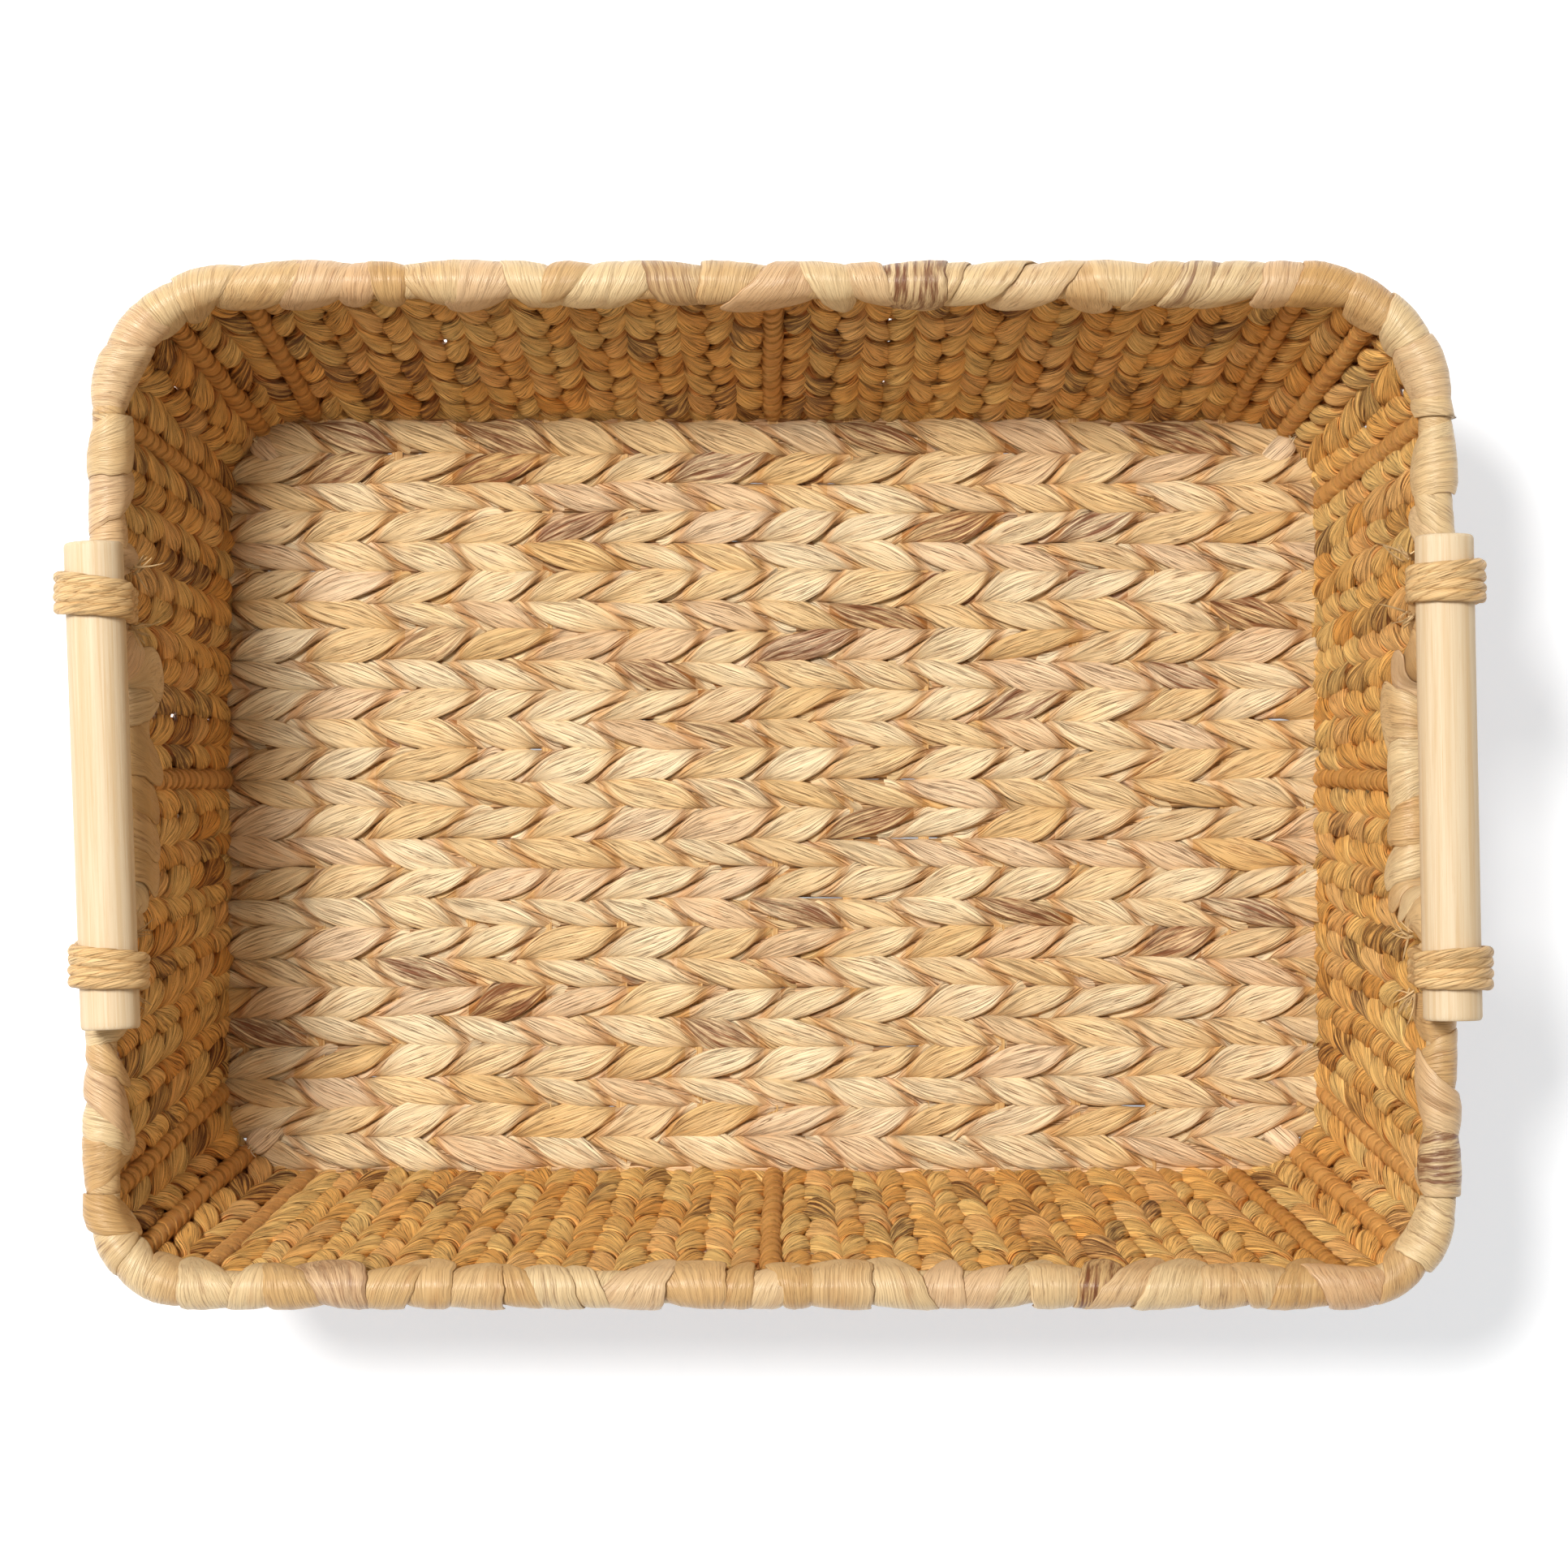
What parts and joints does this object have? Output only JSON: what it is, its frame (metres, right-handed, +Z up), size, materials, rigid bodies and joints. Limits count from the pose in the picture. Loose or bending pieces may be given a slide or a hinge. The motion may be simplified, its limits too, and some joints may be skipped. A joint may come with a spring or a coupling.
{
  "type": "woven bread basket",
  "caption": "Low rectangular basket of twisted water-hyacinth weave on a wire frame, with wrapped rim and a wooden dowel handle lashed over a dip at each short side.",
  "frame": {"origin": "middle of the underside, on the surface the basket stands on", "axes": "+Z up, +X along the length towards the right handle, +Y towards the back long side"},
  "size_m": [0.3907, 0.288, 0.1286],
  "materials": {
    "floor_weave": "dry plant fibre, pale tan, satin with fine creases",
    "wall_weave": "dry plant fibre, honey brown, satin",
    "rim_wrap": "smooth silky plant strip",
    "upright_wrap": "thin wrapped plant strip",
    "lashing_cord": "twisted fibre cord",
    "handle_wood": "bare sanded pale wood",
    "stake_wood": "thin pale strip",
    "frame_wire": "plain wire"
  },
  "bodies": {
    "root": {"base_wire": "frame_wire", "corner_weave_back_left": "wall_weave", "corner_weave_back_right": "wall_weave", "corner_weave_front_left": "wall_weave", "corner_weave_front_right": "wall_weave", "floor_row_01": "floor_weave", "floor_row_02": "floor_weave", "floor_row_03": "floor_weave", "floor_row_04": "floor_weave", "floor_row_05": "floor_weave", "floor_row_06": "floor_weave", "floor_row_07": "floor_weave", "floor_row_08": "floor_weave", "floor_row_09": "floor_weave", "floor_row_10": "floor_weave", "floor_row_11": "floor_weave", "floor_row_12": "floor_weave", "floor_row_13": "floor_weave", "floor_row_14": "floor_weave", "floor_row_15": "floor_weave", "floor_row_16": "floor_weave", "floor_row_17": "floor_weave", "floor_row_18": "floor_weave", "floor_row_19": "floor_weave", "floor_row_20": "floor_weave", "floor_row_21": "floor_weave", "floor_row_22": "floor_weave", "floor_row_23": "floor_weave", "floor_row_24": "floor_weave", "floor_row_25": "floor_weave", "floor_stakes": "stake_wood", "handle_left": "handle_wood", "handle_right": "handle_wood", "lashing_left_back": "lashing_cord", "lashing_left_front": "lashing_cord", "lashing_right_back": "lashing_cord", "lashing_right_front": "lashing_cord", "rim_wire": "frame_wire", "rim_wrap_back": "rim_wrap", "rim_wrap_front": "rim_wrap", "rim_wrap_left": "rim_wrap", "rim_wrap_right": "rim_wrap", "upright_wires": "frame_wire", "upright_wrap_back": "upright_wrap", "upright_wrap_front": "upright_wrap", "upright_wrap_left": "upright_wrap", "upright_wrap_right": "upright_wrap", "upright_wraps_back_left": "upright_wrap", "upright_wraps_back_right": "upright_wrap", "upright_wraps_front_left": "upright_wrap", "upright_wraps_front_right": "upright_wrap", "wall_weave_back_left": "wall_weave", "wall_weave_back_right": "wall_weave", "wall_weave_front_left": "wall_weave", "wall_weave_front_right": "wall_weave", "wall_weave_left_back": "wall_weave", "wall_weave_left_front": "wall_weave", "wall_weave_right_back": "wall_weave", "wall_weave_right_front": "wall_weave"}
  },
  "joints": []
}
